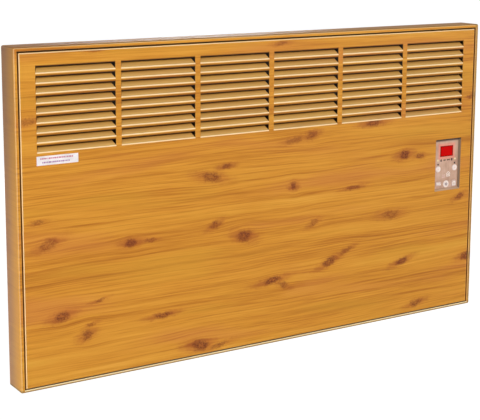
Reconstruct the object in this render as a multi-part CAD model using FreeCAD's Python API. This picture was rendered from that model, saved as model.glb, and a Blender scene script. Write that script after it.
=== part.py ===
"""Wall-hung electric panel convector heater with a pressed louvre grille and a digital thermostat.

Frame: X to the right, Y towards the wall, Z up. The wall is the plane Y = 0 and the origin is the
centre of the four wall-screw holes, so the heater lies at negative Y. All sizes are in millimetres.
"""
import FreeCAD, Part
import math
import os

# ---- casing ----
CASE_WIDTH = 772.0
CASE_HEIGHT = 450.0
CASE_DEPTH = 40.0
WALL_GAP = 20.0            # wall to the back of the casing
SHEET = 1.0                # steel of the casing and the front panel
CORNER_RADIUS = 2.6
FOLD_RADIUS = 2.4
RIM = 5.4                  # visible rim at the sides and the top
RIM_BOTTOM = 3.8
HEM_DEPTH = 9.0            # the rim's inward fold
BACK_FLANGE = 14.0
INLET_LENGTH = 30.0
INLET_WIDTH = 3.8
INLET_PITCH = 38.0
INLET_MARGIN = 30.0
INLET_ROWS = (10.0, 19.0)  # distance of each slot row from the front rim

# ---- front panel ----
PANEL_GAP = 1.6            # rim to panel at the sides and the top
PANEL_GAP_BOTTOM = 0.6
PANEL_INSET = 0.4
PANEL_FLANGE = 11.0
PANEL_FOLD_RADIUS = 2.0
CLIP_LENGTH = 20.0
CLIP_WIDTH = 6.0
CLIP_SETBACK = 2.5
CLIP_FROM_CORNER = 80.0

# ---- louvre grille ----
GRILLE_SIDE = 29.6         # casing side to the first column
GRILLE_TOP = 24.8          # casing top to the first slot
COLUMNS = 6
COLUMN_GAP = 8.0
ROW_PITCH = 12.7
GRILLE_CLEAR = 40.0        # least height from the control opening to the lowest slot
SLOT_HEIGHT = 8.7
BLADE_DEPTH = 6.0          # how far the blade's free edge is pushed in
BLADE_DROP = 2.0           # free edge below the slot's upper edge
BLADE_END = 4.5            # how much shorter the free edge is at each end
BLADE_BEND = 1.6           # outside radius of the bend at the blade's foot

# ---- sticker and plate ----
STICKER_SIZE = (57.9, 12.0)
STICKER_LEFT = 28.7
STICKER_DROP = 4.9         # below the lowest slot
STICKER_THICK = 0.2
PLATE_SIZE = (70.0, 34.0)
PLATE_LEFT = 90.0
PLATE_TOP = 200.0

# ---- control unit ----
CONTROL_SIZE = (51.8, 81.5)
CONTROL_RIGHT = 27.7       # casing side to the opening
CONTROL_FOOT = 192.0       # casing bottom to the opening
CONTROL_RADIUS = 1.5
RECESS = 4.2               # panel face to overlay face
OVERLAY_MARGIN = 2.0       # overlay edge inside the opening's edge
OVERLAY_THICK = 2.0
OVERLAY_FIT = 0.1
BEZEL_FLANGE = 7.0
BEZEL_THICK = 2.0
LEDGE = 0.9
LEDGE_THICK = 1.8
POST_RADIUS = 2.8
POST_INSET = 3.4
BOARD_GAP = 6.0            # ledge to board
BOARD_THICK = 1.6
WINDOW_SIZE = (26.2, 17.0)
WINDOW_TOP = 11.5
LED_RADIUS = 1.6
LED_SPREAD = 17.5
LED_TOP = 33.5
BUTTON_PROUD = 0.9
BUTTON_TRAVEL = 0.7
BUTTON_FIT = 0.15
BUTTON_LIP = 0.6
BUTTON_LIP_THICK = 1.0
BUTTON_GAP = 0.3
ROUND_BUTTON = 9.5
POWER_BUTTON = 11.0
MODE_BUTTON = (11.0, 7.0)
TIMER_BUTTON = (9.0, 10.0)
# each button: offset from the opening's centre line, distance below its upper edge, size
BUTTONS = {
    "minus_button": (-16.8, 47.4, ROUND_BUTTON),
    "plus_button": (16.8, 47.4, ROUND_BUTTON),
    "power_button": (0.0, 72.2, POWER_BUTTON),
    "mode_button": (-15.6, 70.8, MODE_BUTTON),
    "timer_button": (16.2, 72.2, TIMER_BUTTON),
}
SWITCH_BODY = 6.0
SWITCH_HEIGHT = 3.5
PLUNGER_RADIUS = 1.7
PLUNGER_GAP = 0.1          # plunger to a fully pressed button
BOARD_SCREW = 1.2
RELAY_SIZE = (20.0, 15.0, 19.0)
TRANSFORMER_SIZE = (22.0, 15.0, 24.0)

# ---- heating element ----
ELEMENT_HEIGHT = 90.0      # element axis above the casing's bottom
ELEMENT_SETBACK = 17.0     # element axis behind the front rim
ELEMENT_END = 66.0         # casing side to the end of the fins
FIN_REACH = 34.0
FIN_THICK = 1.8
FIN_ANGLE = 19.0
HUB_RADIUS = 7.0
SHEATH_RADIUS = 4.0
SHEATH_FIT = 0.1
SHEATH_OVERHANG = 25.0
BEAD_RADIUS = 5.5
BEAD_LENGTH = 12.0
PIN_RADIUS = 1.5
PIN_OVERHANG = 9.0
HANGER_GAP = 9.0           # fins to hanger plate
HANGER_HEIGHT = 44.0
HANGER_FOOT = 14.0
BUSH_RADIUS = 6.0
BUSH_FLANGE = 1.5

# ---- inner sheets ----
BACK_SHEET = 0.8
BACK_PANEL_INSET = 3.0
INNER_SHEET = 0.6
SHIELD_GAP = 5.0
SHIELD_BOTTOM = 50.0
SHIELD_HEIGHT = 140.0
SHIELD_END = 68.0
GUIDE_SIDE = 13.0
GUIDE_FOOT = 16.0
GUIDE_CLEAR = 26.5         # control opening to the foot of the air guide
GUIDE_REACH = 18.0
REAR_VENT = (4.0, 30.0)
REAR_VENT_PITCH = 14.0
REAR_VENT_COUNT = 12
REAR_VENT_RISE = 214.0     # above the casing's bottom

# ---- parts on the inner sheets ----
CUTOUT_OFFSET = 120.0
CUTOUT_RISE = 168.0
CUTOUT_RADIUS = 8.2
CUTOUT_THICK = 8.0
CUTOUT_CLIP = (32.0, 12.0, 0.8)
BLADE_TAB = (6.0, 6.0, 0.8)
TERMINAL_BLOCK = (24.0, 16.0, 38.0)
TERMINAL_SIDE = 23.0       # casing side to the block's centre line
TERMINAL_RISE = 132.0
TERMINAL_SCREW = 2.2
GLAND_SIDE = 34.0
GLAND_RISE = 46.0
GLAND_RADIUS = 7.0
GLAND_NUT = 10.0
GLAND_BORE = 3.6
EARTH_SIDE = 60.0
EARTH_RISE = 182.0
EARTH_STUD = (2.0, 12.0)
EARTH_NUT = (7.0, 3.2)
SENSOR_SIDE = 92.0
SENSOR_SETBACK = 31.0
SENSOR_RISE = 8.0
SENSOR_RADIUS = 2.5
SENSOR_LENGTH = 14.0

# ---- wiring ----
WIRE_RADIUS = 1.4
WIRE_SETBACK = 27.0        # behind the front rim
WIRE_RISE = 20.0
WIRE_END = 24.0            # casing side to the rising run
WIRE_BEND = 10.0
WIRE_CLIPS = 5
WIRE_CLIP_SIZE = (7.0, 7.0)
WIRE_FIT = 0.1

# ---- wall brackets ----
BRACKET_SPACING = 360.0
BRACKET_WIDTH = 34.0
BRACKET_SHEET = 2.0
BRACKET_FLANGE = 12.0
BRACKET_FLANGE_CLEAR = 30.0
HOOK_RISE = 36.0           # hook seat above the casing's bottom
HOOK_LIP = 7.0
HOOK_CLEAR = 2.0           # lip behind the back panel
LUG_INSET = 2.0
CATCH_DROP = 60.0          # catch shelf below the casing's top
SHELF_CLEAR = 1.0
SCREW_SPACING = 160.0
SCREW_RADIUS = 2.75
CATCH_PIVOT = 9.0          # pivot axis from the wall
CATCH_RADIUS = 8.0
CATCH_THICK = 3.0
CATCH_REACH = 17.0
CATCH_BEAK = 8.0
CATCH_GAP = 0.2
RIVET_RADIUS = 2.5
RIVET_FIT = 0.08
RIVET_HEAD = (4.5, 1.2)
SLOT_CLEAR = 2.0

# ---- fixings and pads ----
SCREW_SHANK = 1.9
SCREW_HOLE_FIT = 0.1
SCREW_HEAD = (3.8, 2.2)
SCREW_LENGTH = 8.0
CROSS_SIZE = (4.2, 0.9, 1.0)
PAD_RADIUS = 9.0
PAD_SIDE = 56.0
PAD_RISE = 30.0

# ---- planes worked out from the sizes above ----
HALF = CASE_WIDTH / 2
BOTTOM = -(HOOK_RISE + CASE_HEIGHT - CATCH_DROP) / 2
TOP = BOTTOM + CASE_HEIGHT
BACK = -WALL_GAP
FRONT = BACK - CASE_DEPTH
PANEL_FACE = FRONT + PANEL_INSET
PANEL_BACK = PANEL_FACE + SHEET
BACK_PANEL_OUT = BACK - SHEET
BACK_PANEL_IN = BACK_PANEL_OUT - BACK_SHEET
SHIELD_FACE = BACK_PANEL_IN - SHIELD_GAP - INNER_SHEET
OVERLAY_FACE = PANEL_FACE + RECESS
LEDGE_FACE = OVERLAY_FACE + OVERLAY_THICK
BOARD_FACE = LEDGE_FACE + LEDGE_THICK + BOARD_GAP
BOARD_BACK = BOARD_FACE + BOARD_THICK
CONTROL_X = HALF - CONTROL_RIGHT - CONTROL_SIZE[0] / 2
CONTROL_Z = BOTTOM + CONTROL_FOOT + CONTROL_SIZE[1]
FIRST_SLOT = TOP - GRILLE_TOP
ROWS = 1 + int((FIRST_SLOT - SLOT_HEIGHT - CONTROL_Z - GRILLE_CLEAR) // ROW_PITCH)
LAST_SLOT = FIRST_SLOT - (ROWS - 1) * ROW_PITCH
ELEMENT_Y = FRONT + ELEMENT_SETBACK
ELEMENT_Z = BOTTOM + ELEMENT_HEIGHT
SHEATH_HALF = HALF - ELEMENT_END + SHEATH_OVERHANG
PIN_TIP = SHEATH_HALF + BEAD_LENGTH + PIN_OVERHANG
HOOK_Z = BOTTOM + HOOK_RISE
SHELF_Z = TOP - CATCH_DROP
LIP_BACK = BACK_PANEL_IN - HOOK_CLEAR

X_DIR = FreeCAD.Vector(1, 0, 0)
Y_DIR = FreeCAD.Vector(0, 1, 0)
Z_DIR = FreeCAD.Vector(0, 0, 1)
SIDES = (-1, 1)


def vec(x, y, z):
    return FreeCAD.Vector(x, y, z)


def block(x0, x1, y0, y1, z0, z1):
    """A box between two corners."""
    return Part.makeBox(x1 - x0, y1 - y0, z1 - z0, vec(x0, y0, z0))


def centred_block(x, y, z, size):
    """A box centred on a point."""
    half = [s / 2 for s in size]
    return block(x - half[0], x + half[0], y - half[1], y + half[1], z - half[2], z + half[2])


def rod(radius, start, direction, length):
    return Part.makeCylinder(radius, length, start, direction)


def disc_y(radius, x, z, y0, y1):
    """A cylinder along Y between two depths."""
    return rod(radius, vec(x, y0, z), Y_DIR, y1 - y0)


def edges_along(shape, axis, test=lambda c: True):
    """Straight edges parallel to an axis whose centre passes the test."""
    found = []
    for edge in shape.Edges:
        run = edge.Vertexes[-1].Point - edge.Vertexes[0].Point
        if run.Length > 1e-6 and run.normalize().cross(axis).Length < 1e-6 and test(edge.CenterOfMass):
            found.append(edge)
    return found


def rounded_block(x0, x1, y0, y1, z0, z1, radius, axis=Y_DIR):
    """A box whose edges along one axis are rounded."""
    solid = block(x0, x1, y0, y1, z0, z1)
    return solid.makeFillet(radius, edges_along(solid, axis))


def stadium_z(x, y, length, width, z0, z1):
    """A slot-shaped column along Z whose long side runs along X."""
    run = (length - width) / 2
    ends = [rod(width / 2, vec(x + s * run, y, z0), Z_DIR, z1 - z0) for s in SIDES]
    return block(x - run, x + run, y - width / 2, y + width / 2, z0, z1).fuse(ends).removeSplitter()


def prism_x(points, x0, x1):
    """A solid with a (y, z) outline between two X planes."""
    corners = [vec(x0, y, z) for y, z in points]
    return Part.Face(Part.makePolygon(corners + corners[:1])).extrude(vec(x1 - x0, 0, 0))


def bent_tube(points, radius, bend):
    """A round wire through points, straight runs joined by tangent arcs."""
    pts = [vec(*p) for p in points]
    edges = []
    start = pts[0]
    for before, corner, after in zip(pts, pts[1:], pts[2:]):
        into = (corner - before).normalize()
        out = (after - corner).normalize()
        half_turn = into.getAngle(out) / 2
        trim = bend * math.tan(half_turn)
        a = corner - into * trim
        b = corner + out * trim
        middle = corner + (out - into).normalize() * (bend / math.cos(half_turn) - bend)
        edges.append(Part.LineSegment(start, a).toShape())
        edges.append(Part.Arc(a, middle, b).toShape())
        start = b
    edges.append(Part.LineSegment(start, pts[-1]).toShape())
    path = Part.Wire(edges)
    circle = Part.Wire(Part.makeCircle(radius, pts[0], pts[1] - pts[0]))
    return path.makePipeShell([circle], True, True)


def save(name, shape):
    """Writes one node; a list becomes one node of separate solids."""
    solids = shape if isinstance(shape, list) else [shape]
    whole = [s for item in solids for s in item.Solids]
    for solid in whole:
        if not solid.isValid():
            raise RuntimeError(name + " has an invalid solid")
    result = whole[0] if len(whole) == 1 else Part.makeCompound(whole)
    result.exportStep("parts/" + name + ".step")
    print(name, len(whole), round(sum(s.Volume for s in whole), 1))


def shell_box(x_half, y0, y1, z0, z1, corner, fold):
    """A box with rounded corners and rounded front and back folds."""
    solid = rounded_block(-x_half, x_half, y0, y1, z0, z1, corner)
    loops = [e for e in solid.Edges if e.BoundBox.YLength < 1e-6]
    return solid.makeFillet(fold, loops)


def case_screws():
    """Places of the screws that hold the back panel to the casing: (x, z)."""
    x_edge = HALF - BACK_FLANGE / 2
    z_low = BOTTOM + BACK_FLANGE / 2
    z_high = TOP - BACK_FLANGE / 2
    x_inner = x_edge / 3
    places = [(s * x, z) for x in (x_inner, x_edge) for s in SIDES for z in (z_low, z_high)]
    middle = [(s * x_edge, (z_low + z_high) / 2) for s in SIDES]
    return places + middle


def casing():
    outer = shell_box(HALF, FRONT, BACK, BOTTOM, TOP, CORNER_RADIUS, FOLD_RADIUS)
    inner = shell_box(HALF - SHEET, FRONT + SHEET, BACK - SHEET, BOTTOM + SHEET, TOP - SHEET,
                      CORNER_RADIUS - SHEET, FOLD_RADIUS - SHEET)
    x_open = HALF - RIM
    z_open = (BOTTOM + RIM_BOTTOM, TOP - RIM)
    hem = block(-x_open - SHEET, x_open + SHEET, FRONT + SHEET, FRONT + HEM_DEPTH,
                z_open[0] - SHEET, z_open[1] + SHEET)
    front = block(-x_open, x_open, FRONT, FRONT + HEM_DEPTH, z_open[0], z_open[1])
    x_back = HALF - BACK_FLANGE
    back = block(-x_back, x_back, BACK - SHEET, BACK, BOTTOM + BACK_FLANGE, TOP - BACK_FLANGE)
    solid = outer.cut(inner).fuse(hem).removeSplitter().cut(front).cut(back)
    lip = [e for e in solid.Edges if e.BoundBox.YLength < 1e-6
           and abs(e.BoundBox.YMin - FRONT) < 1e-6
           and abs(e.BoundBox.XMin) < x_open + 1e-3 and abs(e.BoundBox.XMax) < x_open + 1e-3
           and e.BoundBox.ZMin > z_open[0] - 1e-3 and e.BoundBox.ZMax < z_open[1] + 1e-3]
    solid = solid.makeFillet(SHEET * 0.8, lip)
    count = int((CASE_WIDTH - 2 * INLET_MARGIN) // INLET_PITCH)
    first = -(count - 1) / 2 * INLET_PITCH
    cuts = [stadium_z(first + i * INLET_PITCH, FRONT + row, INLET_LENGTH, INLET_WIDTH,
                      BOTTOM, BOTTOM + SHEET)
            for row in INLET_ROWS for i in range(count)]
    cuts += [disc_y(SCREW_SHANK + SCREW_HOLE_FIT, x, z, BACK - SHEET, BACK) for x, z in case_screws()]
    return solid.cut(Part.makeCompound(cuts))


def louvre_columns():
    """Left edge and width of each louvre column."""
    width = (CASE_WIDTH - 2 * GRILLE_SIDE - (COLUMNS - 1) * COLUMN_GAP) / COLUMNS
    return [(-HALF + GRILLE_SIDE + i * (width + COLUMN_GAP), width) for i in range(COLUMNS)]


def louvre_tops():
    return [FIRST_SLOT - i * ROW_PITCH for i in range(ROWS)]


def blade(x0, width, z_top):
    """One pressed blade: a bend at its foot, a sloping face and a free upper edge with cut corners."""
    z_foot = z_top - SLOT_HEIGHT
    rise = SLOT_HEIGHT - BLADE_DROP
    slope = math.atan2(BLADE_DEPTH, rise)
    setback = BLADE_BEND * math.tan(slope / 2)
    centre = (PANEL_FACE + BLADE_BEND, z_foot - setback)
    inner = BLADE_BEND - SHEET
    tip = (PANEL_FACE + BLADE_DEPTH, z_foot + rise)

    def on_bend(radius, angle):
        return vec(x0, centre[0] - radius * math.cos(angle), centre[1] + radius * math.sin(angle))

    tip_front = vec(x0, *tip)
    tip_back = vec(x0, tip[0] + SHEET * math.cos(slope), tip[1] - SHEET * math.sin(slope))
    edges = [
        Part.Arc(on_bend(BLADE_BEND, 0), on_bend(BLADE_BEND, slope / 2), on_bend(BLADE_BEND, slope)),
        Part.LineSegment(on_bend(BLADE_BEND, slope), tip_front),
        Part.LineSegment(tip_front, tip_back),
        Part.LineSegment(tip_back, on_bend(inner, slope)),
        Part.Arc(on_bend(inner, slope), on_bend(inner, slope / 2), on_bend(inner, 0)),
        Part.LineSegment(on_bend(inner, 0), on_bend(BLADE_BEND, 0)),
    ]
    profile = Part.Face(Part.Wire([e.toShape() for e in edges]))
    solid = profile.extrude(vec(width, 0, 0))
    high = tip[1] + SHEET
    ends = []
    for edge, side in ((x0, 1), (x0 + width, -1)):
        corner = [(edge, z_foot), (edge, high), (edge + side * BLADE_END, high)]
        points = [vec(x, PANEL_FACE, z) for x, z in corner]
        face = Part.Face(Part.makePolygon(points + points[:1]))
        ends.append(face.extrude(vec(0, 2 * BLADE_DEPTH, 0)))
    return solid.cut(Part.makeCompound(ends))


def front_panel():
    edge = RIM + PANEL_GAP
    x_half = HALF - edge
    z0 = BOTTOM + RIM_BOTTOM + PANEL_GAP_BOTTOM
    z1 = TOP - edge
    outer = block(-x_half, x_half, PANEL_FACE, PANEL_FACE + PANEL_FLANGE, z0, z1)
    face_loop = [e for e in outer.Edges
                 if e.BoundBox.YLength < 1e-6 and abs(e.BoundBox.YMin - PANEL_FACE) < 1e-6]
    outer = outer.makeFillet(PANEL_FOLD_RADIUS, face_loop)
    inner = block(-x_half + SHEET, x_half - SHEET, PANEL_BACK, PANEL_FACE + PANEL_FLANGE,
                  z0 + SHEET, z1 - SHEET)
    inner_loop = [e for e in inner.Edges
                  if e.BoundBox.YLength < 1e-6 and abs(e.BoundBox.YMin - PANEL_BACK) < 1e-6]
    inner = inner.makeFillet(PANEL_FOLD_RADIUS - SHEET, inner_loop)
    tray = outer.cut(inner)
    rise = SLOT_HEIGHT - BLADE_DROP
    setback = BLADE_BEND * math.tan(math.atan2(BLADE_DEPTH, rise) / 2)
    slots = [block(x, x + w, PANEL_FACE, PANEL_BACK, z - SLOT_HEIGHT - setback, z)
             for x, w in louvre_columns() for z in louvre_tops()]
    cx, cw = CONTROL_X, CONTROL_SIZE[0] / 2
    slots.append(rounded_block(cx - cw, cx + cw, PANEL_FACE, PANEL_BACK,
                               CONTROL_Z - CONTROL_SIZE[1], CONTROL_Z, CONTROL_RADIUS))
    blades = [blade(x, w, z) for x, w in louvre_columns() for z in louvre_tops()]
    return tray.cut(Part.makeCompound(slots)).fuse(blades)


def panel_clips():
    """Spring clips wedged between the rim's hem and the front panel's flange."""
    x_in = HALF - RIM - PANEL_GAP
    z_low = BOTTOM + RIM_BOTTOM
    z_high = TOP - RIM - PANEL_GAP
    y0 = FRONT + CLIP_SETBACK
    y1 = y0 + CLIP_WIDTH
    half = CLIP_LENGTH / 2
    clips = []
    for s in SIDES:
        for z in (BOTTOM + CLIP_FROM_CORNER, TOP - CLIP_FROM_CORNER):
            xs = sorted((s * x_in, s * (x_in + PANEL_GAP)))
            clips.append(block(xs[0], xs[1], y0, y1, z - half, z + half))
        x = s * (HALF - CLIP_FROM_CORNER)
        clips.append(block(x - half, x + half, y0, y1, z_low, z_low + PANEL_GAP_BOTTOM))
        clips.append(block(x - half, x + half, y0, y1, z_high, z_high + PANEL_GAP))
    return clips


def info_sticker():
    x0 = -HALF + STICKER_LEFT
    z1 = LAST_SLOT - SLOT_HEIGHT - STICKER_DROP
    return block(x0, x0 + STICKER_SIZE[0], PANEL_FACE - STICKER_THICK, PANEL_FACE,
                 z1 - STICKER_SIZE[1], z1)


def rating_plate():
    x0 = HALF - PLATE_LEFT - PLATE_SIZE[0]
    z1 = TOP - PLATE_TOP
    return block(x0, x0 + PLATE_SIZE[0], BACK_PANEL_OUT, BACK_PANEL_OUT + STICKER_THICK,
                 z1 - PLATE_SIZE[1], z1)


def gland_place():
    return HALF - GLAND_SIDE, BOTTOM + GLAND_RISE


def catch_slots(y0, y1):
    """The room that the two catches need between two depths."""
    half = CATCH_RADIUS + CATCH_BEAK
    return [block(x - half, x + half, y0, y1, SHELF_Z - SLOT_CLEAR, SHELF_Z + CATCH_THICK + SLOT_CLEAR)
            for x in (-BRACKET_SPACING / 2, BRACKET_SPACING / 2)]


def back_panel():
    x_half = HALF - SHEET - BACK_PANEL_INSET
    z0 = BOTTOM + SHEET + BACK_PANEL_INSET
    z1 = TOP - SHEET - BACK_PANEL_INSET
    sheet = block(-x_half, x_half, BACK_PANEL_IN, BACK_PANEL_OUT, z0, z1)
    cuts = [disc_y(SCREW_SHANK + SCREW_HOLE_FIT, x, z, BACK_PANEL_IN, BACK_PANEL_OUT)
            for x, z in case_screws()]
    lug_half = BRACKET_WIDTH / 2
    hook_drop = HOOK_LIP + BRACKET_SHEET + 1
    for s in SIDES:
        x = s * BRACKET_SPACING / 2
        cuts.append(block(x - lug_half, x + lug_half, BACK_PANEL_IN, BACK_PANEL_OUT,
                          HOOK_Z - hook_drop, HOOK_Z))
    cuts += catch_slots(BACK_PANEL_IN, BACK_PANEL_OUT)
    gx, gz = gland_place()
    cuts.append(disc_y(GLAND_RADIUS, gx, gz, BACK_PANEL_IN, BACK_PANEL_OUT))
    vent_first = -(REAR_VENT_COUNT - 1) / 2 * REAR_VENT_PITCH
    vent_z = BOTTOM + REAR_VENT_RISE
    for i in range(REAR_VENT_COUNT):
        x = vent_first + i * REAR_VENT_PITCH
        cuts.append(block(x - REAR_VENT[0] / 2, x + REAR_VENT[0] / 2, BACK_PANEL_IN, BACK_PANEL_OUT,
                          vent_z, vent_z + REAR_VENT[1]))
    return sheet.cut(Part.makeCompound(cuts))


def cross_recess(x, z, y_top):
    """The driver recess of a screw whose head's top lies at y_top, on the wall side."""
    long, narrow, deep = CROSS_SIZE
    bars = [block(x - a / 2, x + a / 2, y_top - deep, y_top, z - b / 2, z + b / 2)
            for a, b in ((long, narrow), (narrow, long))]
    return bars[0].fuse(bars[1])


def case_screw(x, z):
    radius, height = SCREW_HEAD
    head = disc_y(radius, x, z, BACK, BACK + height)
    rim = [e for e in head.Edges if abs(e.BoundBox.YMin - BACK - height) < 1e-6
           and e.BoundBox.YLength < 1e-6]
    head = head.makeFillet(height / 2, rim)
    shank = disc_y(SCREW_SHANK, x, z, BACK - SCREW_LENGTH, BACK)
    return head.fuse(shank).cut(cross_recess(x, z, BACK + height))


def heat_shield():
    x = HALF - SHIELD_END
    z0 = BOTTOM + SHIELD_BOTTOM
    z1 = z0 + SHIELD_HEIGHT
    outline = [
        (BACK_PANEL_IN, z0), (SHIELD_FACE, z0), (SHIELD_FACE, z1), (BACK_PANEL_IN, z1),
        (BACK_PANEL_IN, z1 - INNER_SHEET), (SHIELD_FACE + INNER_SHEET, z1 - INNER_SHEET),
        (SHIELD_FACE + INNER_SHEET, z0 + INNER_SHEET), (BACK_PANEL_IN, z0 + INNER_SHEET),
    ]
    return prism_x(outline, -x, x)


def air_guide():
    """The sheet that turns the rising air towards the grille."""
    x = HALF - GUIDE_SIDE
    z0 = CONTROL_Z + GUIDE_CLEAR
    z1 = z0 + GUIDE_FOOT
    z2 = TOP - SHEET - BACK_PANEL_INSET
    y0 = BACK_PANEL_IN
    y1 = y0 - GUIDE_REACH
    t = INNER_SHEET
    outline = [
        (y0, z0), (y0, z1), (y1 + t, z2 - GUIDE_FOOT), (y1 + t, z2),
        (y1, z2), (y1, z2 - GUIDE_FOOT), (y0 - t, z1), (y0 - t, z0),
    ]
    return prism_x(outline, -x, x).cut(catch_slots(-CATCH_PIVOT - CATCH_REACH - SLOT_CLEAR, BACK_PANEL_IN))


def heating_fins():
    half = HALF - ELEMENT_END
    start = vec(-half, ELEMENT_Y, ELEMENT_Z)
    body = rod(HUB_RADIUS, start, X_DIR, 2 * half)
    arms = []
    for s in SIDES:
        arm = block(-half, half, ELEMENT_Y - FIN_THICK / 2, ELEMENT_Y + FIN_THICK / 2,
                    ELEMENT_Z - FIN_REACH, ELEMENT_Z + FIN_REACH)
        arm.rotate(vec(0, ELEMENT_Y, ELEMENT_Z), X_DIR, s * FIN_ANGLE)
        arms.append(arm)
    bore = rod(SHEATH_RADIUS + SHEATH_FIT, start, X_DIR, 2 * half)
    return body.fuse(arms).removeSplitter().cut(bore)


def element_sheath():
    return rod(SHEATH_RADIUS, vec(-SHEATH_HALF, ELEMENT_Y, ELEMENT_Z), X_DIR, 2 * SHEATH_HALF)


def end_beads():
    beads = []
    for s in SIDES:
        start = vec(s * SHEATH_HALF, ELEMENT_Y, ELEMENT_Z)
        bead = rod(BEAD_RADIUS, start, X_DIR * s, BEAD_LENGTH)
        far = [e for e in bead.Edges if e.BoundBox.XLength < 1e-6
               and abs(e.BoundBox.XMin - s * (SHEATH_HALF + BEAD_LENGTH)) < 1e-6]
        bead = bead.makeChamfer(1.0, far)
        beads.append(bead.cut(rod(PIN_RADIUS + SHEATH_FIT, start, X_DIR * s, BEAD_LENGTH)))
    return beads


def terminal_pins():
    return [rod(PIN_RADIUS, vec(s * SHEATH_HALF, ELEMENT_Y, ELEMENT_Z), X_DIR * s,
                PIN_TIP - SHEATH_HALF) for s in SIDES]


def element_hanger(side):
    """A folded plate on the back panel that carries one end of the element."""
    x = HALF - ELEMENT_END + HANGER_GAP
    y_nose = ELEMENT_Y - BUSH_RADIUS - 2 * BUSH_FLANGE
    z0 = ELEMENT_Z - HANGER_HEIGHT / 2
    z1 = ELEMENT_Z + HANGER_HEIGHT / 2
    plate = block(x, x + SHEET, y_nose, BACK_PANEL_IN, z0, z1)
    foot = block(x, x + HANGER_FOOT, BACK_PANEL_IN - SHEET, BACK_PANEL_IN, z0, z1)
    hole = rod(BUSH_RADIUS + SHEATH_FIT, vec(x, ELEMENT_Y, ELEMENT_Z), X_DIR, SHEET)
    solid = plate.fuse(foot).removeSplitter().cut(hole)
    return solid if side > 0 else solid.mirror(vec(0, 0, 0), X_DIR)


def hanger_bushes():
    """Grommets in the hangers around the sheath."""
    bushes = []
    x = HALF - ELEMENT_END + HANGER_GAP
    for s in SIDES:
        y, z = ELEMENT_Y, ELEMENT_Z
        core = rod(BUSH_RADIUS, vec(s * (x - BUSH_FLANGE), y, z), X_DIR * s, SHEET + 2 * BUSH_FLANGE)
        wide = BUSH_RADIUS + BUSH_FLANGE
        rings = [rod(wide, vec(s * (x - BUSH_FLANGE), y, z), X_DIR * s, BUSH_FLANGE - SHEATH_FIT),
                 rod(wide, vec(s * (x + SHEET + SHEATH_FIT), y, z), X_DIR * s,
                     BUSH_FLANGE - SHEATH_FIT)]
        bore = rod(SHEATH_RADIUS + SHEATH_FIT, vec(s * (x - BUSH_FLANGE), y, z), X_DIR * s,
                   SHEET + 2 * BUSH_FLANGE)
        bushes.append(core.fuse(rings).cut(bore))
    return bushes


def cutout_place():
    return CUTOUT_OFFSET, BOTTOM + CUTOUT_RISE


def cutout_clip():
    x, z = cutout_place()
    width, height, thick = CUTOUT_CLIP
    return block(x - width / 2, x + width / 2, SHIELD_FACE - thick, SHIELD_FACE,
                 z - height / 2, z + height / 2)


def thermal_cutout():
    x, z = cutout_place()
    y1 = SHIELD_FACE - CUTOUT_CLIP[2]
    y0 = y1 - CUTOUT_THICK
    body = disc_y(CUTOUT_RADIUS, x, z, y0, y1)
    tabs = [block(x + s * CUTOUT_RADIUS / 2 - BLADE_TAB[2] / 2, x + s * CUTOUT_RADIUS / 2 + BLADE_TAB[2] / 2,
                  y0 - BLADE_TAB[1], y0, z - BLADE_TAB[0] / 2, z + BLADE_TAB[0] / 2) for s in SIDES]
    return body.fuse(tabs)


def terminal_place():
    """Centre line and lower end of the terminal block."""
    return HALF - TERMINAL_SIDE, BOTTOM + TERMINAL_RISE


def terminal_block():
    x, z0 = terminal_place()
    width, depth, height = TERMINAL_BLOCK
    body = rounded_block(x - width / 2, x + width / 2, BACK_PANEL_IN - depth, BACK_PANEL_IN,
                         z0, z0 + height, 1.0)
    return body.cut([hole for hole in terminal_screw_shapes(SHEATH_FIT)])


def terminal_screw_shapes(extra=0.0):
    x, z0 = terminal_place()
    y0 = BACK_PANEL_IN - TERMINAL_BLOCK[1]
    step = TERMINAL_BLOCK[2] / 3
    return [disc_y(TERMINAL_SCREW + extra, x, z0 + (i + 0.5) * step, y0, y0 + TERMINAL_SCREW * 2)
            for i in range(3)]


def cable_gland():
    """The mains inlet in the back panel: a threaded body, a nut inside and a cap outside."""
    x, z = gland_place()
    y_in = BACK_PANEL_IN - GLAND_RADIUS
    y_out = BACK_PANEL_OUT + GLAND_RADIUS
    body = disc_y(GLAND_RADIUS, x, z, y_in, y_out)
    nut = disc_y(GLAND_NUT, x, z, BACK_PANEL_IN - GLAND_BORE, BACK_PANEL_IN)
    cap = disc_y(GLAND_NUT, x, z, BACK_PANEL_OUT, y_out)
    rim = [e for e in cap.Edges if e.BoundBox.YLength < 1e-6 and abs(e.BoundBox.YMin - y_out) < 1e-6]
    cap = cap.makeFillet(GLAND_RADIUS / 4, rim)
    return body.fuse([nut, cap]).cut(disc_y(GLAND_BORE, x, z, y_in, y_out))


def earth_place():
    return HALF - EARTH_SIDE, BOTTOM + EARTH_RISE


def earth_stud():
    x, z = earth_place()
    radius, length = EARTH_STUD
    return disc_y(radius, x, z, BACK_PANEL_IN - length, BACK_PANEL_IN)


def earth_nut():
    x, z = earth_place()
    across, thick = EARTH_NUT
    reach = across / math.sqrt(3)
    corners = [vec(x + reach * math.cos(math.radians(60 * i)), BACK_PANEL_IN - thick,
                   z + reach * math.sin(math.radians(60 * i))) for i in range(6)]
    nut = Part.Face(Part.makePolygon(corners + corners[:1])).extrude(vec(0, thick, 0))
    return nut.cut(disc_y(EARTH_STUD[0] + SHEATH_FIT, x, z, BACK_PANEL_IN - thick, BACK_PANEL_IN))


def sensor_place():
    return HALF - SENSOR_SIDE, FRONT + SENSOR_SETBACK, BOTTOM + SHEET + SENSOR_RISE


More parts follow.
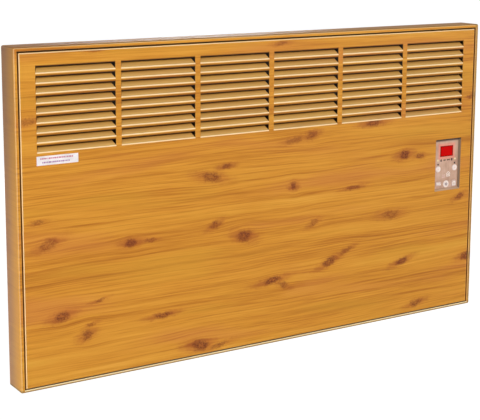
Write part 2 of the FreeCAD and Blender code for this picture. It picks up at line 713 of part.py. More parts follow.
def room_sensor():
    x, y, z = sensor_place()
    body = rod(SENSOR_RADIUS, vec(x - SENSOR_LENGTH / 2, y, z), X_DIR, SENSOR_LENGTH)
    tip = [e for e in body.Edges if e.BoundBox.XLength < 1e-6 and e.BoundBox.XMin < x]
    return body.makeFillet(SENSOR_RADIUS * 0.8, tip)


def sensor_clip():
    x, y, z = sensor_place()
    half = SENSOR_RADIUS + 1.5
    body = block(x - half / 2, x + half / 2, y - half, y + half, BOTTOM + SHEET, z + half)
    return body.cut(rod(SENSOR_RADIUS + WIRE_FIT, vec(x - half, y, z), X_DIR, 2 * half))


def wire_line():
    """Depth and height of the long wire's run."""
    return FRONT + WIRE_SETBACK, BOTTOM + WIRE_RISE


def long_wire():
    """From the terminal block along the bottom to the element's left pin."""
    y, z = wire_line()
    block_x, block_z = terminal_place()
    x_left = -PIN_TIP + WIRE_RADIUS
    z_pin = ELEMENT_Z - PIN_RADIUS
    points = [
        (block_x - TERMINAL_BLOCK[0] / 4, y, block_z),
        (block_x - TERMINAL_BLOCK[0] / 4, y, z),
        (x_left, y, z),
        (x_left, y, z_pin - 2 * WIRE_BEND),
        (x_left, ELEMENT_Y, z_pin - WIRE_BEND - 1),
        (x_left, ELEMENT_Y, z_pin),
    ]
    return bent_tube(points, WIRE_RADIUS, WIRE_BEND / 2)


def short_wire():
    """From the terminal block to the element's right pin."""
    y = wire_line()[0]
    block_x, block_z = terminal_place()
    x_pin = PIN_TIP - WIRE_RADIUS
    z_pin = ELEMENT_Z + PIN_RADIUS
    z_high = block_z - WIRE_BEND - 2
    points = [
        (x_pin, y, block_z),
        (x_pin, y, z_high),
        (x_pin, ELEMENT_Y, z_pin + WIRE_BEND),
        (x_pin, ELEMENT_Y, z_pin),
    ]
    return bent_tube(points, WIRE_RADIUS, WIRE_BEND / 2)


def board_wire():
    """From the terminal block up to the relay."""
    x, z0 = terminal_place()
    y = wire_line()[0]
    rx, ry, rz = relay_place()
    z_low = z0 + TERMINAL_BLOCK[2]
    z_turn = (z_low + rz - RELAY_SIZE[2] / 2) / 2
    points = [(x, y, z_low), (x, y, z_turn), (rx, ry, z_turn), (rx, ry, rz - RELAY_SIZE[2] / 2)]
    return bent_tube(points, WIRE_RADIUS, WIRE_BEND / 4)


def wire_clips():
    y, z = wire_line()
    width, depth = WIRE_CLIP_SIZE
    reach = HALF - ELEMENT_END - CLIP_FROM_CORNER / 2
    clips = []
    for i in range(WIRE_CLIPS):
        x = -reach + 2 * reach * i / (WIRE_CLIPS - 1)
        body = block(x - width / 2, x + width / 2, y - depth / 2, y + depth / 2,
                     BOTTOM + SHEET, z + depth / 2)
        clips.append(body.cut(rod(WIRE_RADIUS + WIRE_FIT, vec(x - width, y, z), X_DIR, 2 * width)))
    return clips


def control_rect(grow, y0, y1, radius=None):
    """The control opening's outline, grown or shrunk, as a solid between two depths."""
    cx, cw = CONTROL_X, CONTROL_SIZE[0] / 2 + grow
    z0 = CONTROL_Z - CONTROL_SIZE[1] - grow
    z1 = CONTROL_Z + grow
    return rounded_block(cx - cw, cx + cw, y0, y1, z0, z1, radius or CONTROL_RADIUS)


def post_places():
    reach = CONTROL_SIZE[0] / 2 + POST_INSET
    return [(CONTROL_X + s * reach, z) for s in SIDES
            for z in (CONTROL_Z - CONTROL_SIZE[1] - POST_INSET, CONTROL_Z + POST_INSET)]


def control_bezel():
    """The frame behind the panel's opening: sloping reveal, seat for the overlay and four posts."""
    back = LEDGE_FACE + LEDGE_THICK
    flange = control_rect(BEZEL_FLANGE, PANEL_BACK, PANEL_BACK + BEZEL_THICK, CONTROL_RADIUS * 2)
    wall = control_rect(SHEET, PANEL_BACK, back)
    posts = [disc_y(POST_RADIUS, x, z, PANEL_BACK, BOARD_FACE) for x, z in post_places()]
    solid = flange.fuse([wall] + posts).removeSplitter()
    fit = OVERLAY_FIT - OVERLAY_MARGIN
    reveal_front = control_rect(0, PANEL_BACK, PANEL_BACK + SHEET)
    front_wire = face_at(reveal_front, PANEL_BACK).OuterWire
    reveal_back = control_rect(fit, OVERLAY_FACE, LEDGE_FACE)
    back_wire = face_at(reveal_back, OVERLAY_FACE).OuterWire
    reveal = Part.makeLoft([front_wire, back_wire], True, True)
    ledge = control_rect(-OVERLAY_MARGIN - LEDGE, LEDGE_FACE, back)
    screws = [disc_y(BOARD_SCREW, x, z, BOARD_FACE - BOARD_GAP, BOARD_FACE) for x, z in post_places()]
    return solid.cut([reveal, reveal_back, ledge] + screws)


def face_at(solid, y):
    """The solid's flat face that lies at one depth."""
    return [f for f in solid.Faces
            if f.BoundBox.YLength < 1e-6 and abs(f.BoundBox.YMin - y) < 1e-6][0]


def button_form(name, grow, y0, y1):
    """A button's outline as a solid between two depths."""
    dx, drop, size = BUTTONS[name]
    x = CONTROL_X + dx
    z = CONTROL_Z - drop
    if isinstance(size, tuple):
        w = size[0] / 2 + grow
        h = size[1] / 2 + grow
        return rounded_block(x - w, x + w, y0, y1, z - h, z + h, min(size) / 3 + grow)
    return disc_y(size / 2 + grow, x, z, y0, y1)


def window_form(grow, y0, y1):
    w, h = WINDOW_SIZE[0] / 2 + grow, WINDOW_SIZE[1]
    z1 = CONTROL_Z - WINDOW_TOP + grow
    return block(CONTROL_X - w, CONTROL_X + w, y0, y1, z1 - h - 2 * grow, z1)


def led_places():
    return [(CONTROL_X + s * LED_SPREAD, CONTROL_Z - LED_TOP) for s in SIDES]


def control_overlay():
    plate = control_rect(-OVERLAY_MARGIN, OVERLAY_FACE, LEDGE_FACE)
    cuts = [button_form(n, BUTTON_FIT, OVERLAY_FACE, LEDGE_FACE) for n in BUTTONS]
    cuts.append(window_form(0, OVERLAY_FACE, LEDGE_FACE))
    cuts += [disc_y(LED_RADIUS + SHEATH_FIT, x, z, OVERLAY_FACE, LEDGE_FACE) for x, z in led_places()]
    return plate.cut(cuts)


def button(name):
    top = OVERLAY_FACE - BUTTON_PROUD
    lip_y = LEDGE_FACE + BUTTON_GAP
    stem = button_form(name, 0, top, lip_y)
    crown = [e for e in stem.Edges if e.BoundBox.YLength < 1e-6 and abs(e.BoundBox.YMin - top) < 1e-6]
    stem = stem.makeFillet(BUTTON_PROUD / 2, crown)
    return stem.fuse(button_form(name, BUTTON_LIP, lip_y, lip_y + BUTTON_LIP_THICK))


def switch_places():
    return [(CONTROL_X + dx, CONTROL_Z - drop) for dx, drop, _ in BUTTONS.values()]


def tact_switches():
    half = SWITCH_BODY / 2
    y0 = BOARD_FACE - SWITCH_HEIGHT
    tip = LEDGE_FACE + BUTTON_GAP + BUTTON_LIP_THICK + BUTTON_TRAVEL + PLUNGER_GAP
    return [block(x - half, x + half, y0, BOARD_FACE, z - half, z + half).fuse(
        disc_y(PLUNGER_RADIUS, x, z, tip, y0)) for x, z in switch_places()]


def control_board():
    board = control_rect(BEZEL_FLANGE - SHEET, BOARD_FACE, BOARD_BACK, POST_RADIUS)
    holes = [disc_y(BOARD_SCREW + SHEATH_FIT, x, z, BOARD_FACE, BOARD_BACK) for x, z in post_places()]
    return board.cut(holes)


def board_screws():
    head_r, head_h = BOARD_SCREW * 2, BOARD_SCREW * 1.4
    fit = BOARD_SCREW - SHEATH_FIT / 2
    screws = []
    for x, z in post_places():
        head = disc_y(head_r, x, z, BOARD_BACK, BOARD_BACK + head_h)
        screws.append(head.fuse(disc_y(fit, x, z, BOARD_FACE - BOARD_GAP + 1, BOARD_BACK)))
    return screws


def relay_place():
    """Centre of the relay on the back of the board."""
    return (CONTROL_X, BOARD_BACK + RELAY_SIZE[1] / 2,
            CONTROL_Z - CONTROL_SIZE[1] + RELAY_SIZE[2] / 2 + POST_RADIUS)


def relay():
    x, y, z = relay_place()
    return centred_block(x, y, z, RELAY_SIZE)


def transformer():
    x, _, z = relay_place()
    width, depth, height = TRANSFORMER_SIZE
    z_mid = z + RELAY_SIZE[2] / 2 + height / 2 + POST_RADIUS
    core = centred_block(x, BOARD_BACK + depth / 2, z_mid, (width, depth, height * 0.6))
    coil = centred_block(x, BOARD_BACK + depth / 2, z_mid, (width * 0.7, depth * 0.8, height))
    return core.fuse(coil)


def display_module():
    return window_form(-OVERLAY_FIT * 6, LEDGE_FACE + BUTTON_GAP, BOARD_FACE)


def display_window():
    return window_form(-OVERLAY_FIT, OVERLAY_FACE, LEDGE_FACE)


def indicator_leds():
    return [disc_y(LED_RADIUS, x, z, OVERLAY_FACE - OVERLAY_FIT * 2, BOARD_FACE) for x, z in led_places()]


def wall_bracket(side):
    """A folded strip with two wall-screw holes, a hook lug below and a catch shelf above."""
    half = BRACKET_WIDTH / 2
    lug = half - LUG_INSET
    t = BRACKET_SHEET
    x = BRACKET_SPACING / 2
    strip = block(x - half, x + half, -t, 0, HOOK_Z - t, SHELF_Z)
    z_fold = (HOOK_Z + BRACKET_FLANGE_CLEAR, SHELF_Z - BRACKET_FLANGE_CLEAR)
    folds = [block(x + s * half - (t if s > 0 else 0), x + s * half + (0 if s > 0 else t),
                   -BRACKET_FLANGE, 0, *z_fold) for s in SIDES]
    hook = block(x - lug, x + lug, LIP_BACK - t, 0, HOOK_Z - t, HOOK_Z)
    lip = block(x - lug, x + lug, LIP_BACK - t, LIP_BACK, HOOK_Z - t, HOOK_Z + HOOK_LIP)
    shelf = rounded_block(x - lug, x + lug, BACK + SHELF_CLEAR, 0, SHELF_Z - t, SHELF_Z, t, Z_DIR)
    shelf = shelf.fuse(block(x - lug, x + lug, -t, 0, SHELF_Z - t, SHELF_Z))
    holes = [disc_y(SCREW_RADIUS, x, s * SCREW_SPACING / 2, -t, 0) for s in SIDES]
    holes.append(rod(RIVET_RADIUS + RIVET_FIT, vec(x, -CATCH_PIVOT, SHELF_Z - t), Z_DIR, t))
    solid = strip.fuse(folds + [hook, lip, shelf]).removeSplitter().cut(holes)
    return solid if side > 0 else solid.mirror(vec(0, 0, 0), X_DIR)


def catch(side):
    """A turning catch on the bracket's shelf: its beak passes through a slot in the back panel."""
    x = side * BRACKET_SPACING / 2
    z0 = SHELF_Z + CATCH_GAP
    hub = rod(CATCH_RADIUS, vec(x, -CATCH_PIVOT, z0), Z_DIR, CATCH_THICK)
    beak = block(x - CATCH_BEAK / 2, x + CATCH_BEAK / 2, -CATCH_PIVOT - CATCH_REACH, -CATCH_PIVOT,
                 z0, z0 + CATCH_THICK)
    nose = edges_along(beak, Z_DIR, lambda c: c.y < -CATCH_PIVOT - CATCH_REACH / 2)
    beak = beak.makeFillet(CATCH_BEAK / 4, nose)
    bore = rod(RIVET_RADIUS + RIVET_FIT, vec(x, -CATCH_PIVOT, z0), Z_DIR, CATCH_THICK)
    return hub.fuse(beak).removeSplitter().cut(bore)


def catch_rivets():
    rivets = []
    head_r, head_h = RIVET_HEAD
    z_head = SHELF_Z + CATCH_THICK + 2 * CATCH_GAP
    for s in SIDES:
        x = s * BRACKET_SPACING / 2
        low = vec(x, -CATCH_PIVOT, SHELF_Z - BRACKET_SHEET - head_h)
        shank = rod(RIVET_RADIUS, low, Z_DIR, z_head + head_h - low.z)
        heads = [rod(head_r, low, Z_DIR, head_h),
                 rod(head_r, vec(x, -CATCH_PIVOT, z_head), Z_DIR, head_h)]
        rivets.append(shank.fuse(heads))
    return rivets


def rear_pads():
    """Rubber spacers that keep the lower edge off the wall."""
    pads = []
    for s in SIDES:
        pad = disc_y(PAD_RADIUS, s * (HALF - PAD_SIDE), BOTTOM + PAD_RISE, BACK_PANEL_OUT, 0)
        rim = [e for e in pad.Edges if e.BoundBox.YLength < 1e-6 and abs(e.BoundBox.YMin) < 1e-6]
        pads.append(pad.makeFillet(2.0, rim))
    return pads


os.makedirs("parts", exist_ok=True)
save("casing", casing())
save("front_panel", front_panel())
save("panel_clips", panel_clips())
save("info_sticker", info_sticker())
save("back_panel", back_panel())
save("rating_plate", rating_plate())
save("case_screws", [case_screw(x, z) for x, z in case_screws()])
save("rear_pads", rear_pads())
save("heat_shield", heat_shield())
save("air_guide", air_guide())
save("heating_fins", heating_fins())
save("element_sheath", element_sheath())
save("end_beads", end_beads())
save("terminal_pins", terminal_pins())
save("element_hanger_left", element_hanger(-1))
save("element_hanger_right", element_hanger(1))
save("hanger_bushes", hanger_bushes())
save("cutout_clip", cutout_clip())
save("thermal_cutout", thermal_cutout())
save("terminal_block", terminal_block())
save("terminal_screws", terminal_screw_shapes())
save("cable_gland", cable_gland())
save("earth_stud", earth_stud())
save("earth_nut", earth_nut())
save("room_sensor", room_sensor())
save("sensor_clip", sensor_clip())
save("long_wire", long_wire())
save("short_wire", short_wire())
save("board_wire", board_wire())
save("wire_clips", wire_clips())
save("control_bezel", control_bezel())
save("control_overlay", control_overlay())
save("display_window", display_window())
save("display_module", display_module())
save("indicator_leds", indicator_leds())
for button_name in BUTTONS:
    save(button_name, button(button_name))
save("tact_switches", tact_switches())
save("control_board", control_board())
save("board_screws", board_screws())
save("relay", relay())
save("transformer", transformer())
save("wall_bracket_left", wall_bracket(-1))
save("wall_bracket_right", wall_bracket(1))
save("catch_left", catch(-1))
save("catch_right", catch(1))
save("catch_rivets", catch_rivets())
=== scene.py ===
"""Looks of a wall-hung panel heater in pine-grain coated steel. All sizes are metres.

X runs to the right, Y into the wall and Z up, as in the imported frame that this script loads.
"""
import math
import random

import bmesh
import bpy
from mathutils import Matrix, Vector


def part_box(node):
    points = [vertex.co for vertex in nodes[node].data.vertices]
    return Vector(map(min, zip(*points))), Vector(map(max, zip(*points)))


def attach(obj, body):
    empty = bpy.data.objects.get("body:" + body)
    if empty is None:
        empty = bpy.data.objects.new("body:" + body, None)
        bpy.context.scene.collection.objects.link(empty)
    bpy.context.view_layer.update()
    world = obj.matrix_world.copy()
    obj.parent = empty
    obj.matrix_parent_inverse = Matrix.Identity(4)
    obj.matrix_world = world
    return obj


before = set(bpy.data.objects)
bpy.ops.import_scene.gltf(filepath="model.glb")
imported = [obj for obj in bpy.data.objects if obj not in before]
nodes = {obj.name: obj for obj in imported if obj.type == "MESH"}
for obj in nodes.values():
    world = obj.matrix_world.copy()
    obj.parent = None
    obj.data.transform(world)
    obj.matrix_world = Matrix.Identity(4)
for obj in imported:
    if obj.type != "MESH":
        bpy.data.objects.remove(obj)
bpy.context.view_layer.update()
MM = 0.001


# ---------------------------------------------------------------- shader arithmetic
class Field:
    """A shader socket that joins in ordinary arithmetic: each operator adds one Math node."""

    def __init__(self, finish, socket):
        self.finish = finish
        self.socket = socket

    def math(self, operation, *values):
        sockets = dict(enumerate(values))
        return self.finish.add("ShaderNodeMath", {"operation": operation}, sockets)

    def __add__(self, other):
        return self.math("ADD", self, other)

    def __sub__(self, other):
        return self.math("SUBTRACT", self, other)

    def __rsub__(self, other):
        return self.math("SUBTRACT", other, self)

    def __mul__(self, other):
        return self.math("MULTIPLY", self, other)

    def __truediv__(self, other):
        return self.math("DIVIDE", self, other)

    def __rtruediv__(self, other):
        return self.math("DIVIDE", other, self)

    def __mod__(self, other):
        return self.math("FLOORED_MODULO", self, other)

    def __abs__(self):
        return self.math("ABSOLUTE", self)

    def __gt__(self, other):
        return self.math("GREATER_THAN", self, other)

    def __lt__(self, other):
        return self.math("LESS_THAN", self, other)

    __radd__ = __add__
    __rmul__ = __mul__

    def sin(self):
        return self.math("SINE", self)

    def least(self, other):
        return self.math("MINIMUM", self, other)

    def most(self, other):
        return self.math("MAXIMUM", self, other)

    def step(self, low, high, start=0.0, end=1.0):
        """Eases from start to end as the value goes from low to high."""
        sockets = {"Value": self, "From Min": low, "From Max": high, "To Min": start, "To Max": end}
        return self.finish.add("ShaderNodeMapRange", {"interpolation_type": "SMOOTHSTEP"}, sockets)


class Finish:
    """The nodes of one procedural material, or of the studio's air."""

    def __init__(self, name, world=None):
        self.material = world or bpy.data.materials.new(name)
        self.material.use_nodes = True
        self.tree = self.material.node_tree
        self.shader = self.tree.nodes["Background" if world else "Principled BSDF"]

    def add(self, kind, settings=None, sockets=None, out=0):
        """Adds a node: its settings first, then the values or links of its sockets."""
        node = self.tree.nodes.new(kind)
        for key, value in (settings or {}).items():
            if key == "stops":
                self.set_stops(node.color_ramp, value)
            else:
                setattr(node, key, value)
        for key, value in (sockets or {}).items():
            self.feed(node.inputs[key], value)
        return Field(self, node.outputs[out])

    def set_stops(self, ramp, stops):
        while len(ramp.elements) < len(stops):
            ramp.elements.new(1.0)
        for element, (place, colour) in zip(ramp.elements, stops):
            element.position = place
            element.color = (*colour, 1.0)

    def feed(self, socket, value):
        if isinstance(value, Field):
            self.tree.links.new(value.socket, socket)
        elif isinstance(value, tuple) and socket.type == "RGBA":
            socket.default_value = (*value, 1.0)
        else:
            socket.default_value = value

    def surface(self, **sockets):
        """Feeds the shader; an underscore in a name stands for a space."""
        for key, value in sockets.items():
            self.feed(self.shader.inputs[key.replace("_", " ")], value)
        return self.material

    def place(self):
        return self.add("ShaderNodeTexCoord", out=3)

    def split(self, vector):
        first = self.add("ShaderNodeSeparateXYZ", None, {0: vector})
        return [Field(self, part) for part in first.socket.node.outputs]

    def point(self, x, y, z=0.0):
        return self.add("ShaderNodeCombineXYZ", None, {0: x, 1: y, 2: z})

    def stretch(self, vector, scale):
        return self.add("ShaderNodeVectorMath", {"operation": "MULTIPLY"}, {0: vector, 1: scale})

    def noise(self, vector, scale=1.0, detail=2.0, roughness=0.5, distortion=0.0):
        sockets = {"Vector": vector, "Scale": scale, "Detail": detail, "Roughness": roughness,
                   "Distortion": distortion}
        return self.add("ShaderNodeTexNoise", None, sockets)

    def blend(self, factor, low, high, kind="MIX"):
        """Mixes two colours; factor 0 gives the first."""
        settings = {"data_type": "RGBA", "blend_type": kind}
        return self.add("ShaderNodeMix", settings, {0: factor, 6: low, 7: high}, out=2)

    def ramp(self, value, stops):
        return self.add("ShaderNodeValToRGB", {"stops": stops}, {0: value})

    def bump(self, height, strength, distance):
        sockets = {"Height": height, "Strength": strength, "Distance": distance}
        return self.add("ShaderNodeBump", None, sockets)

    def normal(self):
        """The surface's own direction, as x, y and z."""
        return self.split(self.add("ShaderNodeNewGeometry", out=1))


def paint(piece, material):
    """Gives a whole piece one material."""
    piece.data.materials.clear()
    piece.data.materials.append(material)


def srgb(red, green, blue):
    """A display colour, 0 to 255, as scene-linear values."""
    return tuple((c / 255 / 12.92) if c < 10 else ((c / 255 + 0.055) / 1.055) ** 2.4
                 for c in (red, green, blue))


# ---------------------------------------------------------------- the pine-grain coating
case_low, case_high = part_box("casing")
RIM_PLANE = case_low.y
CASE_FOOT = case_low.z
panel_low, panel_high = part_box("front_panel")
CASE_MID_X = (case_low.x + case_high.x) / 2
# the louvres: rows and columns of slots inside the casing's outline
GRILLE_TOP = 24.8 * MM
GRILLE_SIDE = 29.6 * MM
SLOT_HEIGHT = 8.7 * MM
ROW_PITCH = 12.7 * MM
ROWS = 9
COLUMNS = 6
COLUMN_GAP = 8.0 * MM
# how far the painted highlights and painted shade round the slots reach
PAINTED_LIGHT_REACH = 1.2 * MM         # how far the tints reach past the outermost slots
GRILLE_WIDTH = case_high.x - case_low.x - 2 * GRILLE_SIDE
COLUMN_PITCH = (GRILLE_WIDTH + COLUMN_GAP) / COLUMNS
FIRST_SLOT = case_high.z - GRILLE_TOP
LAST_SLOT_FOOT = FIRST_SLOT - (ROWS - 1) * ROW_PITCH - SLOT_HEIGHT
FIRST_COLUMN = case_low.x + GRILLE_SIDE
# where painted shade and highlights fall on the frame round the panel, as distances outside the panel's
# outline
RIM_EDGE = 0.3 * MM
GAP_MID = 0.8 * MM
LIP_MID = 1.1 * MM
FLANK_SHADE_FOOT = CASE_FOOT + 113 * MM
# knots in the print: louvre columns from the grille's left edge, share of the casing's
# height, half length and half height in mm, tilt, depth
KNOTS = [
    (0.7, 0.98, 8, 3, 0.1, 0.4), (-0.1, 0.79, 12, 5, 0.1, 0.5), (2.35, 0.60, 9, 4, 0.1, 0.7),
    (2.15, 0.57, 16, 7, -0.3, 0.75), (2.2, 0.42, 9, 5, 0.7, 0.6), (2.6, 0.37, 12, 9, -0.4, 0.85),
    (1.1, 0.40, 9, 6, 0.1, 0.85), (1.35, 0.40, 9, 2.5, -0.1, 0.5), (0.1, 0.43, 14, 7, 0.5, 0.55),
    (0.0, 0.50, 8, 3, 0.0, 0.5), (0.7, 0.24, 8, 2.5, 0.3, 0.6), (0.25, 0.21, 11, 7, 0.3, 0.85),
    (0.6, 0.17, 6, 3, 0.4, 0.5), (0.55, 0.14, 8, 7, 0.6, 0.7), (1.5, 0.16, 14, 4, 0.1, 0.8),
    (2.0, 0.04, 14, 9, -0.2, 0.9), (2.25, 0.03, 14, 4, 0.2, 0.6), (3.1, 0.97, 10, 3, 0.1, 0.5),
    (3.55, 0.67, 9, 6, 0.4, 0.6), (3.3, 0.66, 14, 5, 0.3, 0.45), (4.5, 0.69, 15, 5, 0.1, 0.8),
    (5.0, 0.57, 10, 7, 0.2, 1.0), (5.25, 0.56, 8, 4, 0.1, 0.7), (3.3, 0.51, 5, 6, 0.2, 0.8),
    (4.2, 0.48, 13, 3, 0.2, 0.5), (3.6, 0.38, 8, 5, 0.7, 0.45), (4.8, 0.37, 16, 7, 0.0, 0.5),
    (3.85, 0.24, 13, 6, 0.6, 0.85), (4.1, 0.27, 12, 4, 0.6, 0.5), (5.0, 0.20, 13, 5, 0.45, 0.85),
    (3.0, 0.21, 16, 5, 0.2, 0.95), (3.15, 0.19, 9, 5, -0.7, 0.5), (6.1, 0.18, 12, 7, 0.3, 0.85),
    (5.25, 0.04, 12, 5, 0.3, 0.7), (6.1, 0.75, 9, 4, 0.5, 0.6), (5.95, 0.40, 9, 5, 0.6, 0.7),
]


def knot_fields(coat, across):
    """What all knots do to the print: how far they push the grain, their cores and their shadows."""
    ragged = {"Vector": across, "Scale": 130.0, "Detail": 4.0, "Roughness": 0.7}
    wobble = coat.add("ShaderNodeTexNoise", None, ragged, out=1)
    shift = coat.add("ShaderNodeVectorMath", {"operation": "SUBTRACT"}, {0: wobble, 1: (0.5, 0.5, 0.5)})
    settings = {"operation": "MULTIPLY_ADD"}
    rough = coat.add("ShaderNodeVectorMath", settings, {0: shift, 1: (0.02, 0.009, 0), 2: across})
    push, core, shadow = 0.0, 0.0, 0.0
    for column, share, length, height, tilt, depth in KNOTS:
        place = (FIRST_COLUMN + column * COLUMN_PITCH, CASE_FOOT + share * (case_high.z - CASE_FOOT), 0)
        size = {"Vector": rough, "Location": place, "Rotation": (0, 0, tilt * 0.6),
                "Scale": (length * MM, height * MM, 1)}
        local = coat.add("ShaderNodeMapping", {"vector_type": "TEXTURE"}, size)
        reach = coat.add("ShaderNodeVectorMath", {"operation": "LENGTH"}, {0: local}, out=1)
        side = coat.split(local)[1]
        push = side * (height * MM * 0.9) / (reach * reach + 0.7) + push
        eye = reach.step(0.4, 0.1, 0.0, depth * 0.5)
        core = (reach.step(1.25, 0.45, 0.0, depth) - eye).most(core)
        wide = coat.stretch(local, (0.38, 0.7, 1))
        spread = coat.add("ShaderNodeVectorMath", {"operation": "LENGTH"}, {0: wide}, out=1)
        shadow = spread.step(1.25, 0.1, 0.0, depth).most(shadow)
    return push, core, shadow


def frame_distance(x, z):
    """How far a point lies outside the front panel's outline; negative on the panel."""
    middle = (panel_low + panel_high) / 2
    half = (panel_high - panel_low) / 2
    return (abs(x - middle.x) - half.x).most(abs(z - middle.z) - half.z)


def louvre_painted_light_and_shade(coat, colour, x, z, nz):
    """Painted light round the slots: a painted highlight over each blade's bend, painted shade at each
    strip's foot and at each blade's upper edge, and a lighter painted tone on the upward-facing blades.
    """
    down = FIRST_SLOT - z
    row = down % ROW_PITCH
    column = ((x - FIRST_COLUMN) % COLUMN_PITCH) < COLUMN_PITCH - COLUMN_GAP
    within = abs(x - CASE_MID_X) < GRILLE_WIDTH / 2
    field = (down > -PAINTED_LIGHT_REACH) * (z > LAST_SLOT_FOOT - PAINTED_LIGHT_REACH) * column * within
    # painted shade at the foot of each strip between the slots
    foot_painted_shade = row.step(10.2 * MM, 12.4 * MM)
    colour = coat.blend(field * foot_painted_shade * 0.8, colour, srgb(112, 60, 14))
    # painted highlight on each strip's upper edge, over the blade's bend
    ridge_painted_highlight = row.step(8.4 * MM, SLOT_HEIGHT) * row.step(10.3 * MM, 9.4 * MM)
    colour = coat.blend(field * ridge_painted_highlight * 0.85, colour, srgb(255, 224, 172))
    # upward-sloping blades get a lighter painted tone, as if lit from above, and painted shade near their
    # upper edge under the slit
    sloping = abs(nz).step(0.45, 0.6) * abs(nz).step(0.9, 0.8)
    tone = coat.blend(row.step(1.8 * MM, 7.5 * MM), srgb(182, 140, 74), srgb(218, 182, 116))
    colour = coat.blend(sloping * 0.55, colour, tone)
    return coat.blend(sloping * row.step(3.4 * MM, 2.0 * MM) * 0.8, colour, srgb(84, 50, 12))


def pine_print(coat, along, height, across):
    """The printed pine itself: colour and fine fibres, with the grain bent round its knots."""
    push, core, shadow = knot_fields(coat, across)
    slow = coat.noise(coat.point(along * 1.6, height * 9.0, 3.0), 1.0, 2.0)
    grain = height - push + (slow - 0.5) * 0.012
    bands = coat.noise(coat.point(along * 1.3, grain * 34.0, 0.0), 1.0, 3.0, 0.55)
    streaks = coat.noise(coat.point(along * 4.0, grain * 170.0, 5.0), 1.0, 3.0, 0.6)
    lines = coat.noise(coat.point(along * 9.0, grain * 430.0, 7.0), 1.0, 2.0, 0.6)
    fibres = coat.noise(coat.point(along * 22.0, grain * 1100.0, 9.0), 1.0, 2.0, 0.6)
    rings = coat.noise(coat.point(along * 0.9, grain * 62.0, 14.0), 1.0, 1.0, 0.4)
    late = abs(rings - 0.5).step(0.035, 0.0)
    tone = bands * 0.5 + streaks * 0.34 + lines * 0.42 + fibres * 0.26 - 0.26 - late * 0.08 - shadow * 0.08
    colour = coat.ramp(tone, [
        (0.18, srgb(150, 84, 20)), (0.36, srgb(184, 114, 30)), (0.5, srgb(207, 139, 42)),
        (0.64, srgb(218, 154, 54)), (0.85, srgb(228, 172, 80)),
    ])
    mood = coat.noise(coat.point(along * 3.5, grain * 22.0, 21.0), 1.0, 2.0)
    colour = coat.blend(mood.step(0.52, 0.72, 0.0, 0.45), colour, srgb(196, 116, 56))
    colour = coat.blend(mood.step(0.46, 0.28, 0.0, 0.4), colour, srgb(202, 146, 42))
    curl = shadow * streaks.step(0.62, 0.38)
    colour = coat.blend(shadow * 0.6, colour, srgb(178, 92, 36))
    colour = coat.blend(curl * 0.7, colour, srgb(138, 66, 28))
    speckle = coat.noise(across, 420.0, 2.0).step(0.35, 0.65, 0.45, 1.0)
    return coat.blend(core * speckle, colour, srgb(98, 38, 16)), fibres


def frame_painted_light_and_shade(coat, colour, x, z, depth):
    """Painted light on the folded sheet: painted highlights on bends and the lower lip; painted shade on
    downward faces, the sides, the lower and right rim, and the gap round the panel.
    """
    nx, ny, nz = coat.normal()
    colour = louvre_painted_light_and_shade(coat, colour, x, z, nz)
    # painted shade on downward-facing faces
    colour = coat.blend(nz.step(-0.1, -0.6, 0.0, 0.45), colour, srgb(112, 78, 34))
    outside = frame_distance(x, z)
    # painted highlight on the bends that face the light
    lit = nz.step(-0.3, -0.1) * nx.step(0.4, 0.1)
    bend_painted_highlight = abs(ny).step(0.99, 0.955) * abs(ny).step(0.74, 0.84) * lit
    colour = coat.blend(bend_painted_highlight * outside.step(1.0 * MM, 4.0 * MM, 0.9, 0.32), colour, srgb(255, 234, 188))
    # painted shade on the sides: greyer towards the back and darker towards the top
    side = abs(nx).step(0.4, 0.95)
    flank_painted_shade = coat.blend(depth.step(4.0 * MM, 34.0 * MM), srgb(238, 174, 84), srgb(186, 142, 112))
    colour = coat.blend(side * 0.72, colour, flank_painted_shade)
    colour = coat.blend(side * z.step(FLANK_SHADE_FOOT, case_high.z, 0.0, 0.46), colour, srgb(104, 74, 52))
    # painted shade on the lower rim and the right rim
    below = z < panel_low.z - RIM_EDGE
    rightmost = (x > panel_high.x + RIM_EDGE) * (abs(nx) < 0.3)
    colour = coat.blend(below.most(rightmost) * 0.6, colour, srgb(150, 122, 64))
    # painted highlight on the lower rim's inner lip
    lip_painted_highlight = below * abs(outside - LIP_MID).step(0.9 * MM, 0.4 * MM)
    colour = coat.blend(lip_painted_highlight * 0.9, colour, srgb(255, 234, 186))
    # painted shade in the gap round the panel
    gap_painted_shade = abs(outside - GAP_MID).step(2.6 * MM, 1.8 * MM) * depth.step(0.9 * MM, 1.8 * MM)
    return coat.blend(gap_painted_shade * 0.85, colour, srgb(84, 38, 16))


def pine_coat(name):
    """Printed pine grain under a satin lacquer, on folded steel. The grain runs along X."""
    coat = Finish(name)
    x, y, z = coat.split(coat.place())
    depth = y - RIM_PLANE
    flat_top = abs(coat.normal()[2]) > 0.75
    along = x + depth
    height = z + depth * flat_top
    colour, fibres = pine_print(coat, along, height, coat.point(along, height))
    # painted light and shade of the frame and the louvres go over the print
    colour = frame_painted_light_and_shade(coat, colour, x, z, depth)
    relief = coat.noise(coat.point(along * 14.0, height * 700.0, 2.0), 1.0, 2.0, 0.6)
    return coat.surface(Base_Color=colour, Roughness=fibres.step(0.3, 0.7, 0.34, 0.46),
                        Normal=coat.bump(relief, 0.25, 0.00015), Specular_IOR_Level=0.22)


